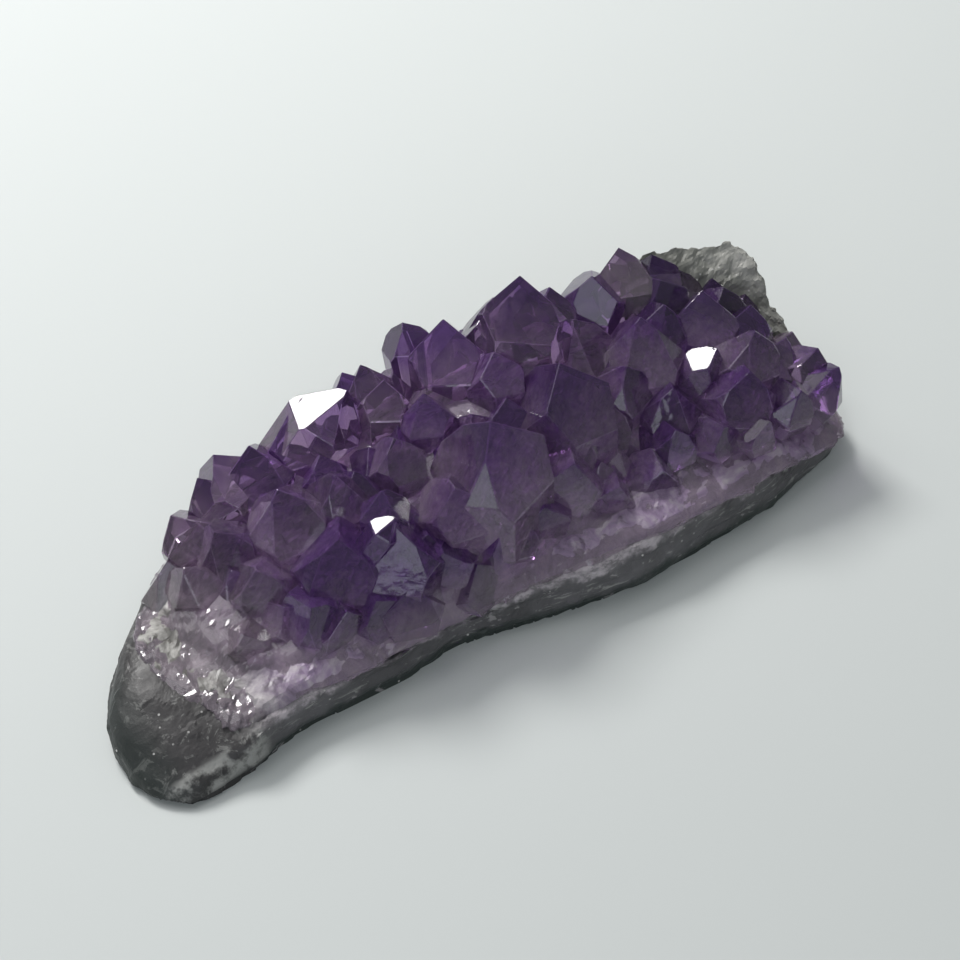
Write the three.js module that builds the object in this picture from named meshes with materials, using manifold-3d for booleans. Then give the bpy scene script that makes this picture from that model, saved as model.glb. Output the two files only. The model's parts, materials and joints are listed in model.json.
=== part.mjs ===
// Amethyst cluster: a slab of geode rock that carries one intergrown mass of amethyst crystals.
// Millimetres, +Z up. The origin is on the rock's flat underside, and +X runs along the cluster.
import * as THREE from "three";
import { mergeVertices } from "three/addons/utils/BufferGeometryUtils.js";
import Module from "manifold-3d";

const wasm = await Module();
wasm.setup();

// Driving dimensions.
const GAP = 0.4; // clearance between the rock and the crystals' roots
const ROCK_THICKNESS = 6.5; // of the rock slab, before its swellings
const WALL_THICKNESS = 7.5; // of the corner of the geode's wall
const ROOT_DEPTH = 4.5; // from the level of the crystals' tips down to the mass that they share
const RHOMB_SLOPE = THREE.MathUtils.degToRad(51.8); // of quartz's end faces, from the crystal's cross-section
const FILL_PITCH = 6.4; // spacing of the lesser crystals
const SPINE = [-34, 39, 1.5]; // ends and y of the line that the crystals fan out from
const FAN_WIDTH = 20.5; // from that line to the crystals' rim
const ROUND_STEPS = 60; // faces around the slab and the root mass

// The rock's plan, anticlockwise from the narrow end of the front edge.
const ROCK_PLAN = [
  [-60, -21], [-51.5, -20.6], [-42, -18], [-34, -18], [-25, -18.3], [-15, -16.8], [-7, -18.4], [4, -20.4],
  [14, -21.6], [25, -21.1], [34, -20.3], [45, -18], [55.5, -15], [60, -8], [60.5, 2], [58.5, 11], [54, 18],
  [45, 22], [28, 24], [10, 25], [-8, 25], [-24, 23.5], [-38, 20], [-50, 13], [-59, 4], [-65, -5], [-64.5, -15.5],
];

// The plan of the mass that the crystals grow from. It leaves the rock's narrow end bare.
const ROOT_PLAN = [
  [-49, -17.4], [-40, -17], [-28, -17.6], [-15, -16.4], [0, -18.8], [15, -20.8], [30, -20.3], [45, -18.6],
  [56, -16.5], [60, -8], [58.5, 3], [51, 14], [42, 20], [28, 23], [10, 24], [-8, 24],
  [-24, 22.5], [-37, 19], [-48, 12.5], [-55, 4.5], [-56, -4], [-53, -12],
];

// The chief crystals: tip x, y and height, radius, the way it leans and how far, and its turn, in degrees.
const CHIEF_CRYSTALS = [
  [-54, 3, 11, 3.5, 190, 25, 10],
  [-51, -2, 12.5, 3.5, 200, 20, 40],
  [-49, 7.5, 14, 4, 170, 28, 25],
  [-43, 13.5, 17.5, 5, 140, 30, 10],
  [-45.5, 5, 16, 4.5, 160, 12, 50],
  [-40, 6, 19, 5, 200, 20, 30],
  [-38, -2, 17.5, 5, 225, 18, 15],
  [-37, 16.5, 19, 5, 120, 30, 20],
  [-33.5, 18, 20.5, 5.5, 110, 25, 50],
  [-29, 15.5, 22, 6.5, 115, 16, 0],
  [-21.5, 16.5, 24, 6, 100, 16, 15],
  [-14, 13, 27, 6, 345, 34, 45],
  [-17.5, 18, 24, 4, 105, 25, 5],
  [-12, 18, 25.5, 3.5, 100, 22, 30],
  [-9.5, 17, 26.5, 4, 100, 20, 25],
  [-8, 13, 26, 4.5, 60, 20, 0],
  [-0.5, 20, 28, 4, 95, 15, 50],
  [4, 16, 29.5, 7, 80, 12, 117],
  [13, 16.5, 29, 5.5, 57, 26, 27],
  [17, 15.5, 32, 7.5, 57, 28, 117],
  [21, 13.5, 29.5, 5, 45, 26, 35],
  [27.5, 12, 29.5, 6, 237, 3, 115],
  [36, 17, 27.5, 6, 75, 28, 10],
  [40, 14, 26.5, 4.5, 75, 20, 40],
  [38, 9, 26, 5.5, 250, 10, 40],
  [43, 5, 24.5, 7, 80, 8, 0],
  [36, 5, 25, 5.5, 330, 10, 25],
  [39, -4.5, 22, 3.4, 345, 34, 45],
  [40, -11, 22, 6.5, 290, 15, 10],
  [44.5, -6, 24, 5.5, 0, 10, 35],
  [49.5, 1, 21.5, 4.5, 30, 20, 5],
  [50.5, -6.5, 20, 4.5, 10, 25, 0],
  [54, -10, 18.8, 5, 350, 28, 20],
  [55, -14, 17.5, 5, 330, 35, 0],
  [54.5, -3.5, 17, 4, 10, 30, 10],
  [47, -15, 17.5, 4.5, 290, 25, 30],
  [29, -7, 21, 5, 250, 8, 0],
  [26.5, -11.5, 17.5, 5, 265, 22, 30],
  [33.5, -14, 16.5, 4.5, 275, 28, 45],
  [17.5, -10, 16.5, 2.8, 270, 20, 10],
  [19, -5, 21.5, 5.5, 290, 15, 20],
  [11.5, -6.5, 22, 5, 250, 12, 10],
  [24, -2, 24, 5, 290, 8, 50],
  [8.5, -11.5, 20.5, 6.5, 262, 28, 0],
  [13.5, 0, 28.5, 9, 60, 8, 40],
  [30, 3, 27, 7.5, 60, 6, 10],
  [-1.5, -5, 29, 9, 75, 4, 48],
  [-5, 7, 26.5, 4.5, 90, 8, 0],
  [7.5, 8, 27.5, 5, 75, 12, 25],
  [-10, -9, 24, 6, 235, 15, 20],
  [-20, -9.5, 22.5, 7, 237, 6, 115],
  [-18.5, -4, 24, 4, 90, 4, 85],
  [-19.5, -9, 23.6, 2.6, 345, 34, 45],
  [-27.5, -7, 22, 7, 240, 12, 0],
  [-30.5, 4.5, 23.5, 7, 180, 10, 20],
  [-22.5, 2.5, 23.5, 5.5, 200, 8, 35],
  [-12.5, 3, 25, 5, 100, 5, 30],
  [-34.5, -11, 16, 5, 240, 28, 50],
  [-43.5, -8, 13, 4, 235, 25, 20],
  [-26, -14, 15, 5, 240, 30, 35],
  [-14.5, -13, 17, 5, 240, 30, 10],
  [-5.5, -14, 17, 5.5, 245, 35, 40],
  [2, -13.5, 17, 5.5, 255, 35, 20],
  [14.5, -14.5, 15, 5, 270, 35, 0],
  [22, -15, 14.5, 4.5, 270, 38, 15],
  [40.5, -16, 15.5, 4.5, 285, 35, 30],
];

// Lower crystals that lean out over the back edge, given the same way.
const SKIRT_CRYSTALS = [
  [-27.5, 20.5, 13.5, 5, 100, 38, 20],
  [-18.5, 21.5, 14.5, 5.5, 95, 40, 50],
  [-9, 22, 15, 5, 92, 42, 10],
  [0, 22, 16, 6, 90, 40, 35],
  [9.5, 22, 16.5, 5.5, 88, 40, 5],
  [19, 21.5, 17, 6, 85, 42, 45],
  [28.5, 20.5, 15.5, 5.5, 80, 42, 25],
];

// A repeatable number from 0 to 1 for any n.
function chance(n) {
  const wave = Math.sin(n * 12.9898) * 43758.5453;
  return wave - Math.floor(wave);
}

function hump(x, middle, width) {
  return Math.exp(-(((x - middle) / width) ** 2));
}

// Height of the rock's upper face. It swells under the middle and the narrow end, and thins to the wide end.
function rockTop(x) {
  const narrowEnd = 3.5 * THREE.MathUtils.smoothstep(-x, 47, 60);
  const wideEnd = -2.5 * THREE.MathUtils.smoothstep(x, 40, 58);
  return ROCK_THICKNESS + 2.2 * hump(x, 18, 22) - 1.5 * hump(x, -14, 8) + narrowEnd + wideEnd;
}

// Share of that height left at x, y. The bare narrow end falls away to its rim, most of all to the front.
function endFall(x, y) {
  const forward = -0.545 * x - 0.839 * y;
  const toFront = THREE.MathUtils.smoothstep(-x, 46, 54) * THREE.MathUtils.smoothstep(forward, 37, 49);
  return 1 - 0.65 * toFront - 0.2 * THREE.MathUtils.smoothstep(-x, 54, 60) * (1 - toFront);
}

// The way out from the line that the crystals fan out from, and how far along it, as a share of the fan's width.
function fan(x, y) {
  const across = y - SPINE[2];
  const along = x - THREE.MathUtils.clamp(x, SPINE[0], SPINE[1]);
  return { way: Math.atan2(across, along), share: Math.hypot(across, along) / FAN_WIDTH };
}

// Height that the crystals reach about a point, from the chief crystals that stand near it.
function tipLevel(x, y) {
  let [sum, weights] = [0, 0];
  for (const [tipX, tipY, height] of CHIEF_CRYSTALS) {
    const weight = Math.exp(-((x - tipX) ** 2 + (y - tipY) ** 2) / 60) + 1e-9;
    sum += weight * height;
    weights += weight;
  }
  return sum / weights - 7 * Math.max(0, fan(x, y).share - 0.7) / 0.3;
}

// Height of the mass between the crystals. It dips about each chief crystal, so that the low ones stand clear.
function rootHeight(x, y) {
  let height = tipLevel(x, y) - ROOT_DEPTH;
  for (const [tipX, tipY, tip] of [...CHIEF_CRYSTALS, ...SKIRT_CRYSTALS]) {
    height = Math.min(height, tip - ROOT_DEPTH + 0.9 * Math.hypot(x - tipX, y - tipY));
  }
  return Math.max(height, rockTop(x) + 2);
}

// A closed mesh with its shared vertices merged, as a solid that can be joined and cut.
function solidOf(geometry) {
  const bare = geometry.clone();
  bare.deleteAttribute("normal");
  bare.deleteAttribute("uv");
  const merged = mergeVertices(bare, 1e-3);
  return new wasm.Manifold(new wasm.Mesh({
    numProp: 3,
    vertProperties: merged.attributes.position.array,
    triVerts: new Uint32Array(merged.index.array),
  }));
}

function geometryOf(solid) {
  const mesh = solid.getMesh();
  const geometry = new THREE.BufferGeometry();
  geometry.setAttribute("position", new THREE.BufferAttribute(mesh.vertProperties, 3));
  geometry.setIndex(new THREE.BufferAttribute(mesh.triVerts, 1));
  return geometry;
}

// A lathe turned from [share of the plan, height share] rows, with each point then moved by place(x, y, share).
function planLathe(plan, rows, place) {
  const outline = new THREE.CatmullRomCurve3(plan.map(([x, y]) => new THREE.Vector3(x, y, 0)), true);
  const lathe = new THREE.LatheGeometry(rows.map(([share, height]) => new THREE.Vector2(share, height)), ROUND_STEPS);
  const position = lathe.attributes.position;
  for (let i = 0; i < position.count; i++) {
    const share = Math.hypot(position.getX(i), position.getZ(i));
    const turn = (Math.atan2(-position.getZ(i), position.getX(i)) / (2 * Math.PI) + 1) % 1;
    const rim = outline.getPointAt(turn);
    const [x, y] = [rim.x * share, rim.y * share];
    position.setXYZ(i, x, y, place(x, y, position.getY(i)));
  }
  return lathe;
}

// The slab, flat below where it rests and undercut round its rim. It can be raised, to cut the crystals' underside.
function rockSlab(raise) {
  const rows = [
    [0, 0], [0.45, 0], [0.85, 0], [0.97, 0], [1, 0.2], [1, 0.5], [0.985, 0.85], [0.95, 0.98], [0.88, 1], [0.8, 1],
    [0.45, 1], [0, 1],
  ];
  return planLathe(ROCK_PLAN, rows, (x, y, share) => raise + share * rockTop(x) * endFall(x, y));
}

// The corner of the geode's wall that still stands at the wide end's back. Its inner and outer faces and its
// top can be moved out by a distance, to cut the room that it stands in.
function cornerWall(inward, outward) {
  const path = new THREE.CatmullRomCurve3([
    new THREE.Vector3(38, 14.5, 19), new THREE.Vector3(46, 13.5, 19.8), new THREE.Vector3(53.5, 11.8, 18.5),
    new THREE.Vector3(55.5, 9, 16.5), new THREE.Vector3(55, 3.5, 10.5), new THREE.Vector3(54, -2.5, 7.5),
  ]);
  const box = new THREE.BoxGeometry(1, 1, 1, 10, 2, 5);
  const position = box.attributes.position;
  for (let i = 0; i < position.count; i++) {
    const along = position.getX(i) + 0.5;
    const across = position.getY(i);
    const up = position.getZ(i) + 0.5;
    const top = path.getPoint(along);
    const side = path.getTangent(along);
    const wave = 0.6 * Math.sin(7 * along);
    const moved = (across > 0 ? outward : -inward) * Math.abs(2 * across);
    const out = across * WALL_THICKNESS + wave + moved;
    const bevel = 6 * across + 0.8 * Math.sin(17 * along);
    const level = THREE.MathUtils.lerp(1.5, top.z + outward + bevel, up);
    position.setXYZ(i, top.x - side.y * out, top.y + side.x * out, level);
  }
  return box;
}

// The mass of quartz that all the crystals share, from the rock up to where they part.
function rootMass() {
  const rows = [
    [0, 0], [0.5, 0], [0.97, 0], [1, 0.1], [0.99, 0.35], [0.95, 0.65], [0.87, 0.88], [0.75, 1], [0.45, 1], [0.2, 1], [0, 1],
  ];
  return planLathe(ROOT_PLAN, rows, (x, y, share) =>
    THREE.MathUtils.lerp(rockTop(x) - 1, rootHeight(x, y), share));
}

// One quartz crystal: a six-sided prism ended by two three-sided pyramids, a sixth of a turn apart.
function crystalSolid([x, y, height, radius, towards, lean, turn]) {
  const degree = THREE.MathUtils.degToRad;
  const seed = 0.37 * x + 0.73 * y;
  const tilt = degree(lean);
  const depth = height - rockTop(x) - 2.5 - radius * Math.sin(tilt);
  const length = Math.max(radius, depth) / Math.cos(tilt);
  const squash = 0.85 + 0.3 * chance(seed + 0.6);
  const minorShift = [
    0.3 * radius * (chance(seed + 0.1) - 0.5),
    0.3 * radius * (chance(seed + 0.2) - 0.5),
    (0.15 + 0.35 * chance(seed + 0.3)) * radius,
  ];
  const pyramidRadius = (2 * length) / Math.tan(RHOMB_SLOPE);

  const prism = new THREE.CylinderGeometry(radius, radius, length, 6);
  prism.rotateX(Math.PI / 2);
  prism.scale(squash, 1, 1);
  prism.rotateZ(degree(turn));
  prism.translate(0, 0, -length / 2);
  const major = new THREE.ConeGeometry(pyramidRadius, length, 3);
  major.rotateX(Math.PI / 2);
  major.rotateZ(degree(turn + 30));
  major.translate(0, 0, -length / 2);
  const minor = new THREE.ConeGeometry(pyramidRadius, length, 3);
  minor.rotateX(Math.PI / 2);
  minor.rotateZ(degree(turn + 90));
  minor.translate(minorShift[0], minorShift[1], minorShift[2] - length / 2);

  const hinge = new THREE.Vector3(-Math.sin(degree(towards)), Math.cos(degree(towards)), 0);
  const stand = new THREE.Matrix4().makeRotationAxis(hinge, tilt).setPosition(x, y, height);
  const [body, first, second] = [prism, major, minor].map((part) => solidOf(part.applyMatrix4(stand)));
  return body.intersect(first).intersect(second);
}

// The lesser crystals, on a staggered grid between the chief ones.
function fillCrystals() {
  const found = [];
  let seed = 100;
  for (let row = -4; row <= 4; row++) {
    for (let column = -10; column <= 10; column++) {
      seed += 1;
      const x = (column + (row % 2 ? 0.5 : 0) + 0.6 * (chance(seed) - 0.5)) * FILL_PITCH;
      const y = (row * 0.87 + 0.6 * (chance(seed + 0.5) - 0.5)) * FILL_PITCH + 2;
      const { way, share } = fan(x, y);
      const crowded = CHIEF_CRYSTALS.some((c) => Math.hypot(x - c[0], y - c[1]) < 0.6 * c[3]);
      if (share > 0.97 || crowded) continue;
      const height = tipLevel(x, y) - 0.5 - 3 * chance(seed + 0.7);
      const lean = 8 + 40 * share ** 2 * chance(seed + 0.8);
      const radius = 3.2 + 2.4 * chance(seed + 0.9);
      found.push([x, y, height, radius, THREE.MathUtils.radToDeg(way), lean, 60 * chance(seed + 0.4)]);
    }
  }
  return found;
}

function amethystSolid() {
  const crystals = [...CHIEF_CRYSTALS, ...SKIRT_CRYSTALS, ...fillCrystals()];
  const solids = crystals.map(crystalSolid);
  const grown = solids.reduce((joined, solid) => joined.add(solid), solidOf(rootMass()));
  const cut = grown.subtract(solidOf(rockSlab(GAP))).subtract(solidOf(cornerWall(GAP, 15)));
  // A crystal tip cut off beyond the wall is left out.
  return cut.decompose().reduce((largest, body) => (body.volume() > largest.volume() ? body : largest));
}

const rock = new THREE.Mesh(
  geometryOf(solidOf(rockSlab(0)).add(solidOf(cornerWall(0, 0)))),
  new THREE.MeshStandardMaterial({ color: 0x55585a, roughness: 0.7, metalness: 0 }),
);
rock.name = "rock_matrix";

const amethyst = new THREE.Mesh(
  geometryOf(amethystSolid()),
  new THREE.MeshStandardMaterial({ color: 0x5d4474, roughness: 0.12, metalness: 0 }),
);
amethyst.name = "amethyst_crystals";

const cluster = new THREE.Group();
cluster.add(rock, amethyst);

export default cluster;
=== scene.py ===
"""Amethyst cluster: a slab of geode rock that carries one intergrown mass of purple quartz crystals.

The script is laid out as an add-on with one operator for each piece and one for the stage. Run as a script,
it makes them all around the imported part, in metres, in the part's own frame."""

import json
import math

import bmesh
import bpy
from bpy.props import FloatProperty, FloatVectorProperty, PointerProperty
from mathutils import Matrix, Vector, noise

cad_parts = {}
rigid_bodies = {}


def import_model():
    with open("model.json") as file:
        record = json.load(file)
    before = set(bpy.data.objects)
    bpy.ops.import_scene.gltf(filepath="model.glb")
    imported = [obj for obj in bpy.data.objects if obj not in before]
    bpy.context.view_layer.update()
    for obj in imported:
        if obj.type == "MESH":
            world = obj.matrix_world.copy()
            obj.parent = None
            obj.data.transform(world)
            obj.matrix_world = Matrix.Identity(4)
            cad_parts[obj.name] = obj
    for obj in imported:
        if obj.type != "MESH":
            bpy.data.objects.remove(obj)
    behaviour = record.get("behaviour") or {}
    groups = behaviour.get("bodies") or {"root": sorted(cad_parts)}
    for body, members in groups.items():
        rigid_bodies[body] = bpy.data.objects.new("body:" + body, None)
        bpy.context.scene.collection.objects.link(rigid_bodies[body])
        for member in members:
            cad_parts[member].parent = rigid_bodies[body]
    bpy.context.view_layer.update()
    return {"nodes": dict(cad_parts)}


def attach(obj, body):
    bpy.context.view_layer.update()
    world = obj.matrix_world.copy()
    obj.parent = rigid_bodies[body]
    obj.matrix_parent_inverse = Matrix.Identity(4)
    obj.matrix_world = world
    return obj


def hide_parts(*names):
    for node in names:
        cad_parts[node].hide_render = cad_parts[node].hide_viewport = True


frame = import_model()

bl_info = {
    "name": "Amethyst cluster",
    "version": (1, 0, 0),
    "blender": (4, 5, 0),
    "location": "3D View > Sidebar > Amethyst",
    "description": "Makes an amethyst cluster on its rock, with a floor, lights and a camera",
    "category": "Object",
}

MM = 0.001

# The chief crystals, in millimetres and degrees: tip x, y and height, radius, the way it leans and how far,
# and its turn about its own axis. Those past BARE_END only shape the broken quartz.
CHIEF_CRYSTALS = [
    (-54, 3, 11, 3.5, 190, 25, 10),
    (-51, -2, 12.5, 3.5, 200, 20, 40),
    (-49, 7.5, 14, 4, 170, 28, 25),
    (-43, 13.5, 17.5, 5, 140, 30, 10),
    (-45.5, 5, 16, 4.5, 160, 12, 50),
    (-40, 6, 19, 5, 200, 20, 30),
    (-38, -2, 17.5, 5, 225, 18, 15),
    (-37, 16.5, 19, 5, 120, 30, 20),
    (-33.5, 18, 20.5, 5.5, 110, 25, 50),
    (-29, 15.5, 22, 6.5, 115, 16, 0),
    (-21.5, 16.5, 24, 6, 100, 16, 15),
    (-14, 13, 27, 6, 345, 34, 45),
    (-17.5, 18, 24, 4, 105, 25, 5),
    (-12, 18, 25.5, 3.5, 100, 22, 30),
    (-9.5, 17, 26.5, 4, 100, 20, 25),
    (-8, 13, 26, 4.5, 60, 20, 0),
    (-0.5, 20, 28, 4, 95, 15, 50),
    (4, 16, 29.5, 7, 80, 12, 117),
    (13, 16.5, 29, 5.5, 57, 26, 27),
    (17, 15.5, 32, 7.5, 57, 28, 117),
    (21, 13.5, 29.5, 5, 45, 26, 35),
    (27.5, 12, 29.5, 5.5, 237, 6, 115),
    (36, 17, 27.5, 6, 75, 28, 10),
    (40, 14, 26.5, 4.5, 75, 20, 40),
    (38, 9, 26, 5.5, 250, 10, 40),
    (43, 5, 24.5, 7, 80, 8, 0),
    (36, 5, 25, 5.5, 330, 10, 25),
    (39, -4.5, 22, 3.4, 345, 34, 45),
    (40, -11, 22, 6.5, 290, 15, 10),
    (44.5, -6, 24, 5.5, 0, 10, 35),
    (49.5, 1, 21.5, 4.5, 30, 20, 5),
    (50.5, -6.5, 20, 4.5, 10, 25, 0),
    (54, -10, 18.8, 5, 350, 28, 20),
    (55, -14, 17.5, 5, 330, 35, 0),
    (54.5, -3.5, 17, 4, 10, 30, 10),
    (47, -15, 17.5, 4.5, 290, 25, 30),
    (29, -7, 21, 5, 250, 8, 0),
    (26.5, -11.5, 17.5, 5, 265, 22, 30),
    (33.5, -14, 16.5, 4.5, 275, 28, 45),
    (17.5, -10, 16.5, 2.8, 270, 20, 10),
    (19, -5, 21.5, 5.5, 290, 15, 20),
    (11.5, -6.5, 22, 5, 250, 12, 10),
    (24, -2, 24, 5, 290, 8, 50),
    (8.5, -11.5, 20.5, 6.5, 262, 28, 0),
    (13.5, 0, 28.5, 9, 60, 8, 40),
    (30, 3, 27, 7.5, 60, 6, 10),
    (-1.5, -5, 29, 9, 75, 4, 48),
    (-5, 7, 26.5, 4.5, 90, 8, 0),
    (7.5, 8, 27.5, 5, 75, 12, 25),
    (-10, -9, 24, 6, 235, 15, 20),
    (-20, -9.5, 22.5, 7, 237, 6, 115),
    (-18.5, -4, 24, 4, 90, 4, 85),
    (-19.5, -9, 23.6, 2.6, 345, 34, 45),
    (-27.5, -7, 22, 7, 240, 12, 0),
    (-30.5, 4.5, 23.5, 7, 180, 10, 20),
    (-22.5, 2.5, 23.5, 5.5, 200, 8, 35),
    (-12.5, 3, 25, 5, 100, 5, 30),
    (-34.5, -11, 16, 5, 240, 28, 50),
    (-43.5, -8, 13, 4, 235, 25, 20),
    (-26, -14, 15, 5, 240, 30, 35),
    (-14.5, -13, 17, 5, 240, 30, 10),
    (-5.5, -14, 17, 5.5, 245, 35, 40),
    (2, -13.5, 17, 5.5, 255, 35, 20),
    (14.5, -14.5, 15, 5, 270, 35, 0),
    (22, -15, 14.5, 4.5, 270, 38, 15),
    (40.5, -16, 15.5, 4.5, 285, 35, 30),
]

# Lower crystals that lean out over the back edge, given the same way.
SKIRT_CRYSTALS = [
    (-27.5, 20.5, 13.5, 5, 100, 38, 20),
    (-18.5, 21.5, 14.5, 5.5, 95, 40, 50),
    (-9, 22, 15, 5, 92, 42, 10),
    (0, 22, 16, 6, 90, 40, 35),
    (9.5, 22, 16.5, 5.5, 88, 40, 5),
    (19, 21.5, 17, 6, 85, 42, 45),
    (28.5, 20.5, 15.5, 5.5, 80, 42, 25),
]

# The plan of the quartz that the crystals grow from, in millimetres, anticlockwise.
ROOT_PLAN = [
    (-49, -17.4), (-40, -17), (-28, -17.6), (-15, -16.4), (0, -18.8), (15, -20.8), (30, -20.3), (45, -18.6),
    (56, -16.5), (60, -8), (58.5, 3), (51, 14), (42, 20), (28, 23), (10, 24), (-8, 24),
    (-24, 22.5), (-37, 19), (-48, 12.5), (-55, 4.5), (-56, -4), (-53, -12),
]

# The root quartz's side, from its underside round to its top: share of the plan, share of the height.
ROOT_SIDE = [
    (0, 0), (0.5, 0), (0.97, 0), (1, 0.1), (0.99, 0.35),
    (0.95, 0.65), (0.87, 0.88), (0.75, 1), (0.4, 1), (0, 1),
]

# The middle line of the corner of geode wall, in millimetres, with the height of its top.
WALL_LINE = [
    (38, 14.5, 19), (46, 13.5, 19.8), (53.5, 11.8, 18.5),
    (55.5, 9, 16.5), (55, 3.5, 10.5), (54, -2.5, 7.5),
]

# Places where the crystals are paler, or darker where the amount is below 0: x, y and the amount.
PALE_PLACES = [
    (-31, 10, 0.9), (36, 16, 1.0), (53, -5, 0.6), (-3, 13, 0.7),
    (17.5, -10, 1.3), (-20, -9.5, -0.9), (10, 2, -0.4), (27.5, 12, -0.5),
]

# Middles of the two patches of bright broken quartz at the narrow end.
SPARKLES = [(-52, 0.5), (-51.3, -14.7)]

# Sizes and places, in millimetres.
ROCK_THICKNESS = 6.5  # of the slab, before its swellings
BARE_END = -48  # x where the crystals end and broken quartz begins
SPINE_START, SPINE_END, SPINE_Y = -34, 39, 1.5  # the line that the crystals fan out from
FAN_WIDTH = 20.5  # from that line to the crystals' rim
RIM_START, RIM_WIDTH, RIM_DROP = 0.7, 0.3, 7  # shares of that width over which the tips drop, and how far
TIP_SPREAD = 60  # area about a chief crystal where the others match its height, in square millimetres
PALE_SPREAD = 25  # area of a pale place, in square millimetres
DIP_SLOPE = 0.9  # of the dip in the shared quartz about a crystal
LEAST_ROOT = 2  # least height of the shared quartz over the rock
FOOT = 2.5  # from the rock up to a crystal's foot
SUNK = 0.8  # how far the shared quartz reaches into the rock
SUNK_AT_END = 1.2  # how much further it reaches at the narrow end
COLOUR_DEPTH = 14  # from a tip down to where the colour is palest
WALL_INNER, WALL_OUTER = -3.2, 22  # sides of the geode wall's room, from its middle line
WALL_LOW, WALL_HIGH = 1.5, 45  # floor and ceiling of that room
FLAT = 0.25  # height below which the rock is ground flat
AIM = 12  # height that the camera and the lights are turned to

# Finishes that are the same in every cluster.
QUARTZ_IOR = 1.544
SMOKY = (0.5, 0.44, 0.46)  # the crystals beside the narrow end
PALE_RIM = (0.5, 0.45, 0.49)  # along the rock's upper edge
FLECKS = (0.38, 0.36, 0.37)  # short pale streaks in the rock
SPECKS = (0.55, 0.54, 0.53)  # tiny pale grains in the rock
BARE_AGATE = (0.029, 0.026, 0.027)  # the rock's bare ends

# Colours from dark to light, each with its place in the pattern.
GREY_QUARTZ = [(0.35, (0.08, 0.076, 0.07)), (0.52, (0.18, 0.172, 0.162)), (0.68, (0.58, 0.565, 0.54))]
WALL_TONES = [(0.3, (0.12, 0.123, 0.112)), (0.5, (0.25, 0.25, 0.23)), (0.7, (0.5, 0.49, 0.46))]

ROUNDING_STEPS = 60  # times that the bare narrow end is smoothed
ROOT_SEGMENTS, ROOT_RINGS = 120, 36  # of the sphere that the shared quartz starts as
SEAM = 0.62  # share of the way round the plan where that sphere's seam lies


def chance(n):
    """A repeatable number from 0 to 1 for any n."""
    wave = math.sin(n * 12.9898) * 43758.5453
    return wave - math.floor(wave)


def paleness(x, y):
    """How much paler than the others a crystal at x, y is, or darker where it is below 0."""
    return sum(
        amount * math.exp(-((x - place_x) ** 2 + (y - place_y) ** 2) / PALE_SPREAD)
        for place_x, place_y, amount in PALE_PLACES
    )


def smoothstep(x, low, high):
    """0 up to low, 1 from high on, and a smooth step between them."""
    t = min(1.0, max(0.0, (x - low) / (high - low)))
    return t * t * (3 - 2 * t)


def swelling(x, middle, width):
    """1 at the middle, fading to 0 on both sides."""
    return math.exp(-(((x - middle) / width) ** 2))


def narrow_end(x):
    """0 under the crystals and 1 on the bare rock at the narrow end."""
    return smoothstep(-x, 44, 52)


def clear_part(x):
    """0 at the narrow end's broken quartz and 1 where the clear crystals start."""
    return smoothstep(x, -50, -34)


def rock_top(x):
    """Height of the rock's upper face, in millimetres."""
    rise_at_end = 3.5 * smoothstep(-x, 47, 60)
    drop_at_end = -2.5 * smoothstep(x, 40, 58)
    wave = 2.2 * swelling(x, 18, 22) - 1.5 * swelling(x, -14, 8)
    return ROCK_THICKNESS + wave + rise_at_end + drop_at_end


def fan(x, y):
    """The way out from the crystals' spine, and how far out, as a share of the fan's width."""
    across = y - SPINE_Y
    along = x - min(SPINE_END, max(SPINE_START, x))
    return math.atan2(across, along), math.hypot(across, along) / FAN_WIDTH


def tip_level(x, y):
    """Height that the crystals reach about a point, from the chief crystals that stand near it."""
    total, weights = 0.0, 0.0
    for tip_x, tip_y, height, *_ in CHIEF_CRYSTALS:
        weight = math.exp(-((x - tip_x) ** 2 + (y - tip_y) ** 2) / TIP_SPREAD) + 1e-9
        total += weight * height
        weights += weight
    return total / weights - RIM_DROP * max(0.0, fan(x, y)[1] - RIM_START) / RIM_WIDTH


def root_height(x, y, depth):
    """Height of the quartz between the crystals. It dips about each chief crystal."""
    height = tip_level(x, y) - depth
    for tip_x, tip_y, tip, *_ in CHIEF_CRYSTALS + SKIRT_CRYSTALS:
        height = min(height, tip - depth + DIP_SLOPE * math.hypot(x - tip_x, y - tip_y))
    return max(height, rock_top(x) + LEAST_ROOT)


def fill_crystals(pitch):
    """The lesser crystals, on a staggered grid between the chief ones, given the same way."""
    jitter = 0.6
    row_pitch = 0.87
    grid_y = 2
    crowding = 0.6  # share of a chief crystal's radius that stays free of others
    least_height = 4  # over the rock
    found = []
    seed = 100
    for row in range(-4, 5):
        for column in range(-10, 11):
            seed += 1
            x = (column + (0.5 if row % 2 else 0) + jitter * (chance(seed) - 0.5)) * pitch
            y = (row * row_pitch + jitter * (chance(seed + 0.5) - 0.5)) * pitch + grid_y
            way, share = fan(x, y)
            crowded = any(
                math.hypot(x - tip_x, y - tip_y) < crowding * tip_radius
                for tip_x, tip_y, _, tip_radius, *_ in CHIEF_CRYSTALS
            )
            if share > 0.97 or crowded:
                continue
            height = tip_level(x, y) - 2.2 - 3 * chance(seed + 0.7)
            if height < rock_top(x) + least_height:
                continue
            lean = 8 + 40 * share**2 * chance(seed + 0.8)
            radius = 4 + 2.8 * chance(seed + 0.9)
            found.append((x, y, height, radius, math.degrees(way), lean, 60 * chance(seed + 0.4)))
    return found


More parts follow.
